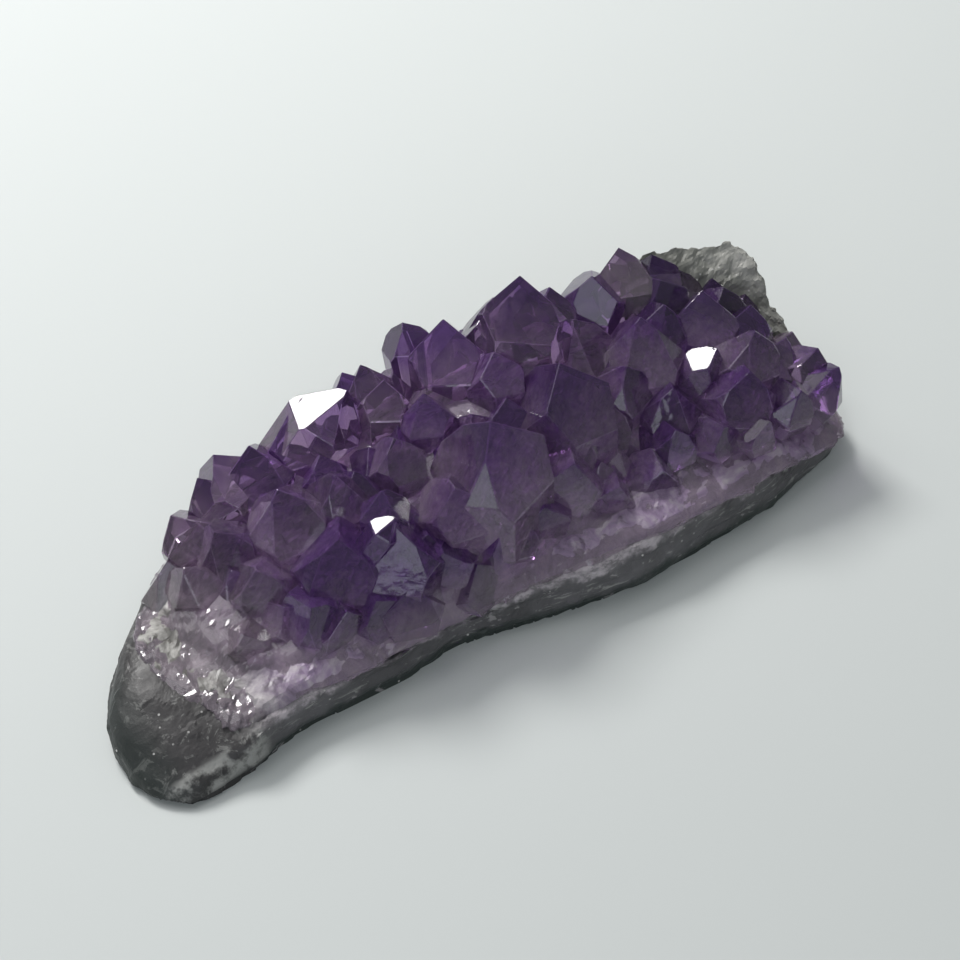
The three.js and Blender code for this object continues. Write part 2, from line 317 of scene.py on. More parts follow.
class RockSettings(bpy.types.PropertyGroup):
    """Sizes and colours of the rock"""

    grain: FloatProperty(
        name="Grain", description="Size of the rock's mesh faces", default=0.0006, unit="LENGTH", min=0.0003
    )
    relief: FloatProperty(
        name="Relief", description="Depth of the broken rock's relief", default=0.001, unit="LENGTH", min=0
    )
    stone: FloatVectorProperty(
        name="Stone", description="Dark body of the rock", subtype="COLOR", default=(0.09, 0.087, 0.094)
    )
    # The skin colour also serves as painted shade over the far narrow end.
    skin: FloatVectorProperty(
        name="Skin", description="Green-black skin of the rock", subtype="COLOR",
        default=(0.016, 0.028, 0.024),
    )
    pale: FloatVectorProperty(
        name="Pale bands", description="Pale chalcedony in the rock", subtype="COLOR",
        default=(0.3, 0.3, 0.29),
    )


class CrystalSettings(bpy.types.PropertyGroup):
    """Sizes and colours of the crystals"""

    slope: FloatProperty(
        name="End slope",
        description="Slope of quartz's end faces from the crystal's cross-section",
        default=math.radians(51.8),
        subtype="ANGLE",
    )
    edge: FloatProperty(
        name="Edge wear", description="Width of the worn edges", default=0.00012, unit="LENGTH", min=0
    )
    fill_pitch: FloatProperty(
        name="Spacing", description="Spacing of the lesser crystals", default=0.0064, unit="LENGTH"
    )
    deep: FloatVectorProperty(
        name="Deep purple", description="Colour of the tips", subtype="COLOR", default=(0.29, 0.155, 0.47)
    )
    mid: FloatVectorProperty(
        name="Mauve", description="Colour half way down", subtype="COLOR", default=(0.53, 0.37, 0.63)
    )
    pale: FloatVectorProperty(
        name="Pale quartz", description="Colour low on the crystals", subtype="COLOR",
        default=(0.78, 0.67, 0.78),
    )
    absorbed: FloatVectorProperty(
        name="Seen through", description="Colour of light through the quartz", subtype="COLOR",
        default=(0.585, 0.305, 0.7),
    )
    density: FloatProperty(name="Density", description="Strength of that colour", default=68.0, min=0)
    clearness: FloatProperty(
        name="Clearness", description="Share of clear crystal", default=0.84, min=0, max=1
    )


class RootSettings(bpy.types.PropertyGroup):
    """Sizes and colours of the quartz that the crystals share"""

    depth: FloatProperty(
        name="Depth", description="From the tips down to the shared quartz", default=0.0065, unit="LENGTH"
    )
    grain: FloatProperty(
        name="Grain", description="Size of the quartz's mesh faces", default=0.0006, unit="LENGTH", min=0.0003
    )
    cover: FloatProperty(
        name="Cover", description="Clear quartz over the milky quartz", default=0.0024, unit="LENGTH", min=0
    )
    skin: FloatProperty(
        name="Skin", description="Clear quartz beside the milky quartz", default=0.0009, unit="LENGTH", min=0
    )
    milky: FloatVectorProperty(
        name="Milky quartz", description="Pale broken quartz", subtype="COLOR", default=(0.47, 0.42, 0.46)
    )
    mauve: FloatVectorProperty(
        name="Mauve quartz", description="Quartz among the crystals", subtype="COLOR",
        default=(0.3, 0.22, 0.34),
    )


class StageSettings(bpy.types.PropertyGroup):
    """The floor, the camera and the lights"""

    floor: FloatVectorProperty(
        name="Floor", description="Colour of the floor", subtype="COLOR", default=(0.72, 0.75, 0.745)
    )
    azimuth: FloatProperty(
        name="Azimuth", description="The way the camera looks from", default=math.radians(-33),
        subtype="ANGLE",
    )
    elevation: FloatProperty(
        name="Elevation", description="Height of the camera", default=math.radians(46), subtype="ANGLE"
    )
    distance: FloatProperty(
        name="Distance", description="From the camera to the cluster", default=0.33, unit="LENGTH"
    )
    lens: FloatProperty(name="Lens", description="Focal length in millimetres", default=85)
    key: FloatProperty(
        name="Key light", description="Power of the window behind", default=3.9, unit="POWER"
    )
    soft: FloatProperty(
        name="Soft light", description="Power of the wide light above", default=3.8, unit="POWER"
    )
    fill: FloatProperty(
        name="Fill light", description="Power of the window in front", default=1.7, unit="POWER"
    )
    sky: FloatProperty(name="Sky", description="Strength of the soft light all round", default=0.24)


def add_piece(name, mesh, material, slot_name, *nodes):
    """Makes a finished mesh a piece of the cluster that stands for the CAD nodes named."""
    piece = bpy.data.objects.new(name, mesh)
    bpy.context.scene.collection.objects.link(piece)
    mesh.materials.clear()
    mesh.materials.append(material)
    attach(piece, "root")
    if nodes:
        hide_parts(*nodes)


def mesh_of(bm, name):
    """A new mesh made from a bmesh, which is freed."""
    mesh = bpy.data.meshes.new(name)
    bm.to_mesh(mesh)
    bm.free()
    return mesh


def evaluated(name, mesh, *modifiers):
    """The mesh after the modifiers, each given as (kind, settings)."""
    scratch = bpy.data.objects.new(name, mesh)
    bpy.context.scene.collection.objects.link(scratch)
    for kind, settings in modifiers:
        modifier = scratch.modifiers.new(kind, kind)
        for key, value in settings.items():
            setattr(modifier, key, value)
    graph = bpy.context.evaluated_depsgraph_get()
    made = bpy.data.meshes.new_from_object(scratch.evaluated_get(graph))
    bpy.data.objects.remove(scratch)
    return made


def bisect(bm, point, normal):
    """Cuts off what lies beyond a plane and closes the cut with one face."""
    geometry = bm.verts[:] + bm.edges[:] + bm.faces[:]
    cut = bmesh.ops.bisect_plane(
        bm, geom=geometry, dist=1e-8, plane_co=point, plane_no=normal, clear_outer=True
    )
    rim = [part for part in cut["geom_cut"] if isinstance(part, bmesh.types.BMEdge)]
    if len(rim) > 2:
        bmesh.ops.contextual_create(bm, geom=rim)


def crystal_mesh(name, spec, settings, depth):
    """One quartz crystal: a six-sided prism ended by two three-sided pyramids, with worn edges.

    Its growth attribute holds the depth below the tip, the paleness, 0 for a crystal or 1 for the shared
    quartz, and a painted shade for each face: a random darkening on the flat faces, standing in for the
    facets' different shade through refraction, and none on the worn edges, which so show as painted light
    lines."""
    x, y, height, radius, towards, lean, turn = spec
    seed = 0.37 * x + 0.73 * y
    tilt = math.radians(lean)
    reach = max(radius, depth - radius * math.sin(tilt)) / math.cos(tilt)
    squash = 0.85 + 0.3 * chance(seed + 0.6)
    shift = Vector((
        0.3 * radius * (chance(seed + 0.1) - 0.5),
        0.3 * radius * (chance(seed + 0.2) - 0.5),
        (0.15 + 0.35 * chance(seed + 0.3)) * radius,
    )) * MM
    bm = bmesh.new()
    bmesh.ops.create_cube(bm, size=1)
    bmesh.ops.scale(bm, vec=(3 * radius * MM, 3 * radius * MM, reach * MM), verts=bm.verts)
    bmesh.ops.translate(bm, vec=(0, 0, -reach * MM / 2), verts=bm.verts)
    slope = settings.slope
    spin = Matrix.Rotation(math.radians(turn), 3, "Z")
    flats = []
    for side in range(6):
        angle = math.radians(60 * side)
        flat = Vector((math.cos(angle) / squash, math.sin(angle), 0))
        away = radius * MM * math.cos(math.pi / 6) / flat.length
        flat = spin @ flat.normalized()
        flats.append(flat)
        bisect(bm, flat * away, flat)
    for side in range(6):
        angle = math.radians(60 * side + turn)
        flat = Vector((math.cos(angle) * math.sin(slope), math.sin(angle) * math.sin(slope), math.cos(slope)))
        flats.append(flat)
        bisect(bm, shift if side % 2 else Vector(), flat)
    bmesh.ops.remove_doubles(bm, verts=bm.verts, dist=2e-6)
    wear = settings.edge * (0.5 + chance(seed + 0.8))
    bmesh.ops.bevel(
        bm, geom=bm.edges[:], offset=min(wear, 0.06 * radius * MM), segments=1, affect="EDGES",
        profile=0.5, material=-1, clamp_overlap=True,
    )
    growth = bm.loops.layers.float_color.new("growth")
    pale = chance(seed) + paleness(x, y)
    for face in bm.faces:
        nearest = max(range(len(flats)), key=lambda n: flats[n].dot(face.normal))
        is_flat = flats[nearest].dot(face.normal) > 0.999
        # Painted shade: each flat face gets its own random darkening, standing in for refraction; the worn
        # edges stay unshaded and show as painted light lines.
        tone = chance(seed + 0.07 * nearest) if is_flat else 1
        for loop in face.loops:
            loop[growth] = (min(1.0, -loop.vert.co.z / (COLOUR_DEPTH * MM)), pale, 0, tone)
    hinge = Vector((-math.sin(math.radians(towards)), math.cos(math.radians(towards)), 0))
    stand = Matrix.Translation(Vector((x, y, height)) * MM) @ Matrix.Rotation(tilt, 4, hinge)
    bmesh.ops.transform(bm, matrix=stand, verts=bm.verts)
    return mesh_of(bm, name)


def plan_point(plan, turn):
    """A point round a closed plan, on a smooth curve through its corners. turn goes from 0 to 1."""
    count = len(plan)
    place = (turn % 1) * count
    first = int(place)
    t = place - first
    a, b, c, d = (Vector(plan[(first + k) % count]) for k in (-1, 0, 1, 2))
    return 0.5 * (2 * b + (c - a) * t + (2 * a - 5 * b + 4 * c - d) * t**2 + (3 * b - a - 3 * c + d) * t**3)


def side_point(side, share):
    """A point along the root's side. share goes from 0 to 1."""
    place = min(share * (len(side) - 1), len(side) - 1.0001)
    first = int(place)
    return Vector(side[first]).lerp(Vector(side[first + 1]), place - first)


def root_mesh(name, settings, inset):
    """The quartz that all the crystals share. An inset of 1 makes it smaller, for the milky core."""
    bm = bmesh.new()
    bmesh.ops.create_uvsphere(bm, u_segments=ROOT_SEGMENTS, v_segments=ROOT_RINGS, radius=1)
    depth = settings.depth / MM
    cover = inset * settings.cover / MM
    for vert in bm.verts:
        turn = math.atan2(vert.co.y, vert.co.x) / (2 * math.pi)
        share, level = side_point(ROOT_SIDE, 1 - math.acos(max(-1, min(1, vert.co.z))) / math.pi)
        rim = plan_point(ROOT_PLAN, turn + SEAM)
        rim *= 1 - inset * settings.skin / MM / rim.length
        x, y = rim.x * share, rim.y * share
        low = rock_top(x) - SUNK - SUNK_AT_END * narrow_end(x)
        clear = clear_part(x)
        top = root_height(x, y, depth * (0.4 + 0.6 * clear) + cover * (0.35 + 0.65 * clear))
        vert.co = Vector((x, y, low + (top - low) * level)) * MM
    bmesh.ops.recalc_face_normals(bm, faces=bm.faces)
    voxels = {"mode": "VOXEL", "voxel_size": settings.grain, "use_smooth_shade": False}
    return evaluated(name, mesh_of(bm, name), ("REMESH", voxels))


def roughen(mesh, relief):
    """Moves each vertex along its normal by relief(place in millimetres, normal), in millimetres."""
    moved = []
    for vert in mesh.vertices:
        moved.append(vert.co + vert.normal * relief(vert.co / MM, vert.normal) * MM)
    for vert, place in zip(mesh.vertices, moved):
        vert.co = place
    mesh.update()


def chips(place, stretch, tilt, seed):
    """Depth of a broken surface: flat chips of the sizes in stretch, each tilted its own way."""
    scaled = Vector((place.x / stretch[0], place.y / stretch[1], place.z / stretch[2] + seed))
    centre = noise.voronoi(scaled)[1][0]
    key = centre.x * 7.13 + centre.y * 15.7 + centre.z * 31.3
    lean = Vector((chance(key) - 0.5, chance(key + 0.3) - 0.5, chance(key + 0.6) - 0.5))
    return 2 * tilt * (lean.dot(scaled - centre) + 0.3 * (chance(key + 0.9) - 0.5))


def dishes(place, size, seed):
    """Depth of shell-shaped breaks: round hollows that meet in ridges."""
    scaled = place / size + Vector((seed, 2 * seed, 3 * seed))
    return noise.voronoi(scaled)[0][0] ** 2


def sparkle(p):
    """How much the quartz at the narrow end is broken into bright facets, from 0 to 1."""
    near = min(math.hypot(p.x - x, p.y - y) for x, y in SPARKLES)
    return smoothstep(-p.x, 40, 47) * (0.3 + 0.7 * smoothstep(near, 6, 3))


def root_relief(p, normal):
    """Broken columns that run up the side, and chips all over."""
    upright = 1 - abs(normal.z)
    columns = chips(p, (6.5, 6.5, 22), 1.1, 3) * upright
    sparkly = 0.05 + 0.95 * sparkle(p)
    return columns + chips(p, (1.9, 1.9, 2.9), 0.5, 8) * sparkly + 0.15 * noise.noise(p * 0.5) - 0.2


def core_relief(p, normal):
    """The cloudy, needly top of the milky quartz."""
    deep = clear_part(p.x) * abs(normal.z)
    deep *= 0.15 + 0.85 * smoothstep(fan(p.x, p.y)[1], 0.9, 0.65)
    needles = chips(p, (2.2, 2.2, 7), 0.5, 5) * (0.06 + 0.94 * deep)
    shards = chips(p, (3.2, 3.2, 3.2), 0.8, 9) * sparkle(p)
    return (0.15 + 0.85 * deep) * noise.fractal(p * 0.22, 0.8, 2.1, 5) + needles + shards


def rock_relief(p, normal):
    """Broken rock: shell-shaped breaks, ledges along the side and fine grain. The underside stays flat."""
    if p.z < 0.3 and normal.z < -0.5:
        return 0.0
    smooth = narrow_end(p.x) * smoothstep(normal.z, 0.1, 0.6)
    shells = (dishes(p, 19, 1.7) * 2 - 0.8) * (1 - 0.85 * smooth)
    ledges = 0.35 * noise.noise(Vector((p.x * 0.07, p.y * 0.07, p.z * 0.9)))
    breaks = chips(p, (6, 6, 3), 0.25, 2)
    grain = 0.12 * noise.fractal(p * 0.6, 1.0, 2.1, 4)
    lumps = chips(p, (4, 4, 4), 0.22, 6) + 0.3 * noise.fractal(p * 0.5, 0.8, 2.1, 4)
    on_wall = smoothstep(p.z, 10, 13)
    return shells + lumps * on_wall + (ledges + breaks + grain) * (1 - 0.55 * smooth)


def round_off(mesh):
    """Rounds the upper edges of the bare narrow end."""
    bm = bmesh.new()
    bm.from_mesh(mesh)
    bare = [vert for vert in bm.verts if vert.co.x < -50 * MM and vert.co.z > 1 * MM]
    for _ in range(ROUNDING_STEPS):
        bmesh.ops.smooth_vert(
            bm, verts=bare, factor=0.5, use_axis_x=True, use_axis_y=True, use_axis_z=True
        )
    bm.to_mesh(mesh)
    bm.free()


def rock_mesh(settings):
    """A finer copy of the CAD rock, broken and chipped, with a rounded narrow end.

    Its strata attribute holds the level in the slab, the bare ends, the wall and the torn flap."""
    copy = frame["nodes"]["rock_matrix"].data.copy()
    bm = bmesh.new()
    bm.from_mesh(copy)
    bmesh.ops.remove_doubles(bm, verts=bm.verts, dist=1e-6)
    bm.to_mesh(copy)
    bm.free()
    remeshed = evaluated(
        "rock", copy, ("REMESH", {"mode": "VOXEL", "voxel_size": settings.grain}),
        ("SMOOTH", {"factor": 0.5, "iterations": 6}),
    )
    for vert in remeshed.vertices:
        x, y, z = vert.co / MM
        pull = 0.14 * smoothstep(-x, 46, 54) * smoothstep(z, 2, 10)  # towards the middle of the end
        vert.co.x += pull * (-50 - x) * MM
        vert.co.y += pull * (-8 - y) * MM
    round_off(remeshed)
    roughen(remeshed, lambda p, normal: rock_relief(p, normal) * settings.relief / MM)
    strata = remeshed.color_attributes.new("strata", "FLOAT_COLOR", "POINT")
    for vert, mark in zip(remeshed.vertices, strata.data):
        vert.co.z = 0.0 if vert.co.z < FLAT * MM else vert.co.z
        x, y, z = vert.co / MM
        bare = max(smoothstep(-x, 44, 50), smoothstep(x, 53, 56) * smoothstep(y, -2, 4))
        flap = smoothstep(-y, 17.6, 18.4) * smoothstep(-x, 45, 48) * smoothstep(z, 0.8, 1.8)
        wall = smoothstep(z, rock_top(x) + 1, rock_top(x) + 3) * smoothstep(x, 25, 32)
        mark.color = (min(1, z / rock_top(x)), bare, wall, flap)
    return remeshed


def wall_cutter():
    """The room that the corner of geode wall takes, which is cut out of the crystals."""
    bm = bmesh.new()
    bmesh.ops.create_cube(bm, size=1)
    lengthways = [e for e in bm.edges if abs(e.verts[0].co.x - e.verts[1].co.x) > 0.5]
    bmesh.ops.subdivide_edges(bm, edges=lengthways, cuts=11, use_grid_fill=True)
    points = [Vector(p) for p in WALL_LINE]
    for vert in bm.verts:
        along = (vert.co.x + 0.5) * (len(points) - 1)
        first = min(int(along), len(points) - 2)
        place = points[first].lerp(points[first + 1], along - first)
        way = (points[first + 1] - points[first]).normalized()
        out = WALL_INNER if vert.co.y < 0 else WALL_OUTER
        level = WALL_LOW if vert.co.z < 0 else WALL_HIGH
        vert.co = Vector((place.x - way.y * out, place.y + way.x * out, level)) * MM
    bmesh.ops.recalc_face_normals(bm, faces=bm.faces)
    return mesh_of(bm, "wall_cutter")


def keep_largest(mesh):
    """Removes the loose bits that a cut leaves."""
    bm = bmesh.new()
    bm.from_mesh(mesh)
    left = set(bm.verts)
    islands = []
    while left:
        stack = [left.pop()]
        island = []
        while stack:
            vert = stack.pop()
            island.append(vert)
            for edge in vert.link_edges:
                other = edge.other_vert(vert)
                if other in left:
                    left.remove(other)
                    stack.append(other)
        islands.append(island)
    islands.sort(key=len)
    for island in islands[:-1]:
        bmesh.ops.delete(bm, geom=island, context="VERTS")
    bm.to_mesh(mesh)
    bm.free()


def toned(colour, amount):
    """A colour made darker or lighter."""
    return tuple(amount * part for part in colour)


class Tree:
    """Short names for making and linking a material's nodes."""

    def __init__(self, name):
        self.material = bpy.data.materials.new(name)
        self.material.use_nodes = True
        self.nodes = self.material.node_tree.nodes
        self.nodes.clear()
        self.output = self.add("ShaderNodeOutputMaterial")

    def add(self, kind, **settings):
        node = self.nodes.new(kind)
        for key, value in settings.items():
            setattr(node, key, value)
        return node

    def link(self, source, target):
        self.material.node_tree.links.new(source, target)

    def put(self, value, target):
        """Links a socket to the target, or sets the target to a plain value."""
        if isinstance(value, bpy.types.NodeSocket):
            self.link(value, target)
        else:
            target.default_value = value

    def math(self, operation, a, b):
        node = self.add("ShaderNodeMath", operation=operation)
        self.put(a, node.inputs[0])
        self.put(b, node.inputs[1])
        return node.outputs[0]

    def mix(self, factor, a, b, blend="MIX"):
        node = self.add("ShaderNodeMix", data_type="RGBA", blend_type=blend)
        self.put(factor, node.inputs[0])
        self.put(a, node.inputs[6])
        self.put(b, node.inputs[7])
        return node.outputs[2]

    def tint(self, colour, mask, amount, other):
        """The colour with some of another one mixed in where the mask is."""
        return self.mix(self.math("MULTIPLY", mask, amount), colour, (*other, 1))

    def sway(self, value, pattern, amount):
        """The value moved up and down by a pattern from 0 to 1."""
        return self.math("ADD", value, self.math("MULTIPLY", self.math("SUBTRACT", pattern, 0.5), amount))

    def ramp(self, factor, *stops):
        node = self.add("ShaderNodeValToRGB")
        elements = node.color_ramp.elements
        while len(elements) < len(stops):
            elements.new(0.5)
        for element, (place, colour) in zip(elements, stops):
            element.position = place
            element.color = colour if len(colour) == 4 else (*colour, 1)
        self.put(factor, node.inputs[0])
        return node.outputs[0]

    def span(self, factor, low, high, to_low=0.0, to_high=1.0):
        """A smooth step from to_low to to_high as the factor goes from low to high."""
        node = self.add("ShaderNodeMapRange", interpolation_type="SMOOTHSTEP")
        self.put(factor, node.inputs["Value"])
        node.inputs["From Min"].default_value = low
        node.inputs["From Max"].default_value = high
        node.inputs["To Min"].default_value = to_low
        node.inputs["To Max"].default_value = to_high
        return node.outputs[0]

    def noise(self, vector, scale, detail=3.0, roughness=0.5, distortion=0.0):
        node = self.add("ShaderNodeTexNoise")
        self.link(vector, node.inputs["Vector"])
        node.inputs["Scale"].default_value = scale
        node.inputs["Detail"].default_value = detail
        node.inputs["Roughness"].default_value = roughness
        node.inputs["Distortion"].default_value = distortion
        return node.outputs["Fac"]

    def cells(self, vector, scale):
        """Distance from the middles of scattered cells."""
        node = self.add("ShaderNodeTexVoronoi", feature="F1")
        self.link(vector, node.inputs["Vector"])
        node.inputs["Scale"].default_value = scale
        return node.outputs["Distance"]

    def place(self, scale=(1, 1, 1), turn=(0, 0, 0)):
        """Places on the piece in metres, stretched and turned."""
        coordinates = self.add("ShaderNodeTexCoord").outputs["Object"]
        mapping = self.add("ShaderNodeMapping")
        mapping.inputs["Scale"].default_value = scale
        mapping.inputs["Rotation"].default_value = turn
        self.link(coordinates, mapping.inputs["Vector"])
        return mapping.outputs[0]

    def axes(self, vector):
        """The x, y and z of a vector."""
        node = self.add("ShaderNodeSeparateXYZ")
        self.link(vector, node.inputs[0])
        return node.outputs

    def marks(self, name):
        """The red, green, blue and alpha of a colour attribute."""
        attribute = self.add("ShaderNodeAttribute", attribute_name=name)
        parts = self.add("ShaderNodeSeparateColor")
        self.link(attribute.outputs["Color"], parts.inputs[0])
        return *parts.outputs[:3], attribute.outputs["Alpha"]

    def bump(self, height, distance, strength=1.0, normal=None):
        node = self.add("ShaderNodeBump")
        node.inputs["Distance"].default_value = distance
        node.inputs["Strength"].default_value = strength
        self.link(height, node.inputs["Height"])
        if normal is not None:
            self.link(normal, node.inputs["Normal"])
        return node.outputs[0]

    def surface(self, colour, roughness):
        """The shader that the material ends in."""
        shader = self.add("ShaderNodeBsdfPrincipled")
        self.link(colour, shader.inputs["Base Color"])
        self.put(roughness, shader.inputs["Roughness"])
        self.link(shader.outputs[0], self.output.inputs["Surface"])
        return shader


def amethyst_material(settings):
    """Glassy purple quartz, deepest at the tips and paler down the sides, with a painted shade on each face
    and painted light lines along the worn edges.
    """
    t = Tree("amethyst")
    place = t.place()
    depth, tone, is_root, facet_shade = t.marks("growth")
    x, _, z = t.axes(place)
    clouds = t.noise(place, 160, 4, 0.6, 0.6)
    veils = t.noise(place, 450, 6, 0.75, 1.5)
    regions = t.noise(place, 30, 2, 0.5)
    zone = t.sway(depth, clouds, 0.6)
    zone = t.sway(zone, veils, 0.9)
    zone = t.sway(zone, tone, 0.45)
    zone = t.sway(zone, regions, 0.6)
    end_fade = t.span(t.math("ADD", x, t.math("MULTIPLY", clouds, 0.01)), -0.028, -0.042)
    low_fade = t.span(z, 0.015, 0.009)
    zone = t.math("ADD", zone, t.math("MULTIPLY", t.math("ADD", end_fade, low_fade), 0.35))
    body = t.ramp(zone, (0.05, settings.deep), (0.35, settings.mid), (0.75, settings.pale))
    body = t.tint(body, end_fade, 0.5, SMOKY)
    # Painted shade for each face from the growth attribute's alpha: flat faces darkened at random, worn edges
    # left light as painted highlight lines.
    body = t.mix(1.0, body, t.span(facet_shade, 0, 1, 0.5, 1), "MULTIPLY")
    colour = t.mix(is_root, body, (*settings.pale, 1))
    frost = t.span(t.noise(place, 240, 5, 0.6), 0.45, 0.75, 0.015, 0.07)
    shader = t.surface(colour, t.math("ADD", frost, t.math("MULTIPLY", is_root, 0.04)))
    shader.inputs["IOR"].default_value = QUARTZ_IOR
    shader.inputs["Transmission Weight"].default_value = settings.clearness
    growth_lines = t.noise(t.place((900, 900, 2600)), 1, 3, 0.5)
    normal = t.bump(growth_lines, 0.00002, 0.25)
    normal = t.bump(t.cells(place, 900), 0.00002, 0.15, normal)
    normal = t.bump(t.noise(place, 260, 2, 0.5), 0.00016, 0.28, normal)
    t.link(normal, shader.inputs["Normal"])
    inside = t.add("ShaderNodeVolumeAbsorption")
    inside.inputs["Color"].default_value = (*settings.absorbed, 1)
    inside.inputs["Density"].default_value = settings.density
    t.link(inside.outputs[0], t.output.inputs["Volume"])
    return t.material


def milky_material(settings):
    """Cloudy quartz: mauve under the crystals, with milky veils and streaks."""
    t = Tree("milky quartz")
    place = t.place()
    clouds = t.noise(place, 200, 6, 0.62, 0.8)
    streaks = t.noise(t.place((420, 420, 110)), 1, 5, 0.6, 0.5)
    shadow = toned(settings.mauve, 0.35)
    colour = t.ramp(clouds, (0.3, shadow), (0.5, settings.mauve), (0.7, settings.milky))
    colour = t.tint(colour, t.span(streaks, 0.52, 0.72), 0.6, settings.milky)
    x = t.axes(place)["X"]
    grey_end = t.span(t.math("ADD", x, t.math("MULTIPLY", clouds, 0.01)), -0.032, -0.046)
    colour = t.mix(grey_end, colour, t.ramp(clouds, *GREY_QUARTZ))
    shader = t.surface(colour, t.span(clouds, 0.3, 0.7, 0.25, 0.6))
    t.link(t.bump(streaks, 0.0004, 0.5), shader.inputs["Normal"])
    return t.material


def rock_material(settings):
    """Dark grey agate under a pale quartz rim, with a green-black skin low down and, over the far narrow end,
    painted shade in the skin's colour.
    """
    t = Tree("rock")
    place = t.place()
    level, bare, wall, flap = t.marks("strata")
    mottle = t.noise(place, 110, 6, 0.62, 0.3)
    stone = settings.stone
    colour = t.ramp(mottle, (0.3, toned(stone, 0.6)), (0.5, stone), (0.72, toned(stone, 1.7)))

    streaks = t.span(t.noise(t.place((210, 210, 1100), (0, 0.1, 0)), 1, 5, 0.7, 0.8), 0.57, 0.65)
    colour = t.tint(colour, streaks, t.span(bare, 0.0, 1.0, 0.75, 0.5), settings.pale)
    wavering = t.sway(level, t.noise(place, 260, 5, 0.6), 0.7)
    rim = t.math("MULTIPLY", t.span(wavering, 0.78, 0.95), t.math("SUBTRACT", 1.0, bare))
    broken = t.span(t.noise(t.place((400, 400, 900)), 1, 5, 0.7), 0.4, 0.6, 0.25, 0.9)
    colour = t.tint(colour, rim, broken, PALE_RIM)
    colour = t.tint(colour, t.span(wavering, 0.45, 0.15), 0.85, settings.skin)
    flecks = t.span(t.noise(t.place((320, 320, 700)), 1, 4, 0.7, 0.6), 0.62, 0.68)
    colour = t.tint(colour, flecks, 0.6, FLECKS)

    colour = t.tint(colour, bare, 0.82, BARE_AGATE)
    patches = t.span(t.noise(t.place((360, 360, 360)), 1, 5, 0.7, 1.0), 0.56, 0.64)
    colour = t.tint(colour, t.math("MULTIPLY", patches, bare), 0.45, settings.pale)
    x = t.axes(place)["X"]
    # Partly green-black skin, partly painted shade: the far narrow end, which the light in front falls on, is
    # darkened towards the skin colour.
    far = t.span(t.math("ADD", x, t.math("MULTIPLY", mottle, 0.006)), -0.054, -0.06)
    colour = t.tint(colour, far, 0.5, settings.skin)
    torn = t.span(t.noise(t.place((260, 260, 260)), 1, 4, 0.6), 0.4, 0.55)
    colour = t.tint(colour, flap, torn, settings.pale)

    colour = t.mix(wall, colour, t.ramp(mottle, *WALL_TONES))
    specks = t.span(t.cells(place, 700), 0.16, 0.08)
    colour = t.tint(colour, specks, t.span(t.noise(place, 200), 0.5, 0.62), SPECKS)
    shader = t.surface(colour, t.span(mottle, 0.3, 0.7, 0.35, 0.6))
    normal = t.bump(t.noise(place, 500, 5, 0.6), 0.0003, 0.4)
    normal = t.bump(t.noise(place, 1800, 4, 0.6), 0.0001, 0.4, normal)
    t.link(normal, shader.inputs["Normal"])
    return t.material


def floor_material(settings):
    """A pale matt floor, with painted shade that makes it a little darker in front."""
    t = Tree("floor")
    place = t.place()
    tone = t.math("ADD", t.axes(place)["Y"], t.math("MULTIPLY", t.noise(place, 3, 2, 0.5), 0.02))
    # Painted shade: the floor's colour is darker towards the front, as if less light reached it there.
    front, back = toned(settings.floor, 0.77), toned(settings.floor, 0.98)
    shader = t.surface(t.ramp(t.span(tone, -0.25, 0.25), (0, front), (1, back)), 0.7)
    shader.inputs["Specular IOR Level"].default_value = 0.2
    return t.material


class CLUSTER_OT_rock(bpy.types.Operator):
    """Makes the slab of geode rock"""

    bl_idname = "cluster.rock"
    bl_label = "Rock"

    def execute(self, context):
        settings = context.scene.cluster_rock
        add_piece("rock", rock_mesh(settings), rock_material(settings), "rock", "rock_matrix")
        return {"FINISHED"}


class CLUSTER_OT_crystals(bpy.types.Operator):
    """Grows the amethyst crystals and joins them in one solid"""

    bl_idname = "cluster.crystals"
    bl_label = "Crystals"

    def execute(self, context):
        settings = context.scene.cluster_crystals
        root = root_mesh("root", context.scene.cluster_root, 0)
        roughen(root, root_relief)
        specs = CHIEF_CRYSTALS + SKIRT_CRYSTALS + fill_crystals(settings.fill_pitch / MM)
        specs = [spec for spec in specs if spec[0] > BARE_END]
        grown = bpy.data.collections.new("grown")
        context.scene.collection.children.link(grown)
        for number, spec in enumerate(specs):
            name = f"crystal_{number}"
            depth = spec[2] - rock_top(spec[0]) - FOOT
            grown.objects.link(bpy.data.objects.new(name, crystal_mesh(name, spec, settings, depth)))
        layer = root.color_attributes.new("growth", "FLOAT_COLOR", "CORNER")
        for corner in layer.data:
            corner.color = (1, 0.5, 1, 1)
        cutter = bpy.data.objects.new("wall_cutter", wall_cutter())
        context.scene.collection.objects.link(cutter)
        join = {"operation": "UNION", "operand_type": "COLLECTION", "collection": grown, "solver": "MANIFOLD"}
        joined = evaluated("amethyst", root, ("BOOLEAN", join))
        cut = {"operation": "DIFFERENCE", "object": cutter, "solver": "MANIFOLD"}
        joined = evaluated("amethyst", joined, ("BOOLEAN", cut))
        bpy.data.objects.remove(cutter)
        for part in list(grown.objects):
            bpy.data.objects.remove(part)
        bpy.data.collections.remove(grown)
        keep_largest(joined)
        if not joined.polygons:
            raise RuntimeError("the crystals did not join")
        add_piece("amethyst", joined, amethyst_material(settings), "amethyst", "amethyst_crystals")
        return {"FINISHED"}


class CLUSTER_OT_milky_quartz(bpy.types.Operator):
    """Makes the milky quartz that shows through the crystals' feet"""

    bl_idname = "cluster.milky_quartz"
    bl_label = "Milky quartz"

    def execute(self, context):
        settings = context.scene.cluster_root
        core = root_mesh("milky_quartz", settings, 1)
        roughen(core, core_relief)
        add_piece("milky_quartz", core, milky_material(settings), "amethyst")
        return {"FINISHED"}


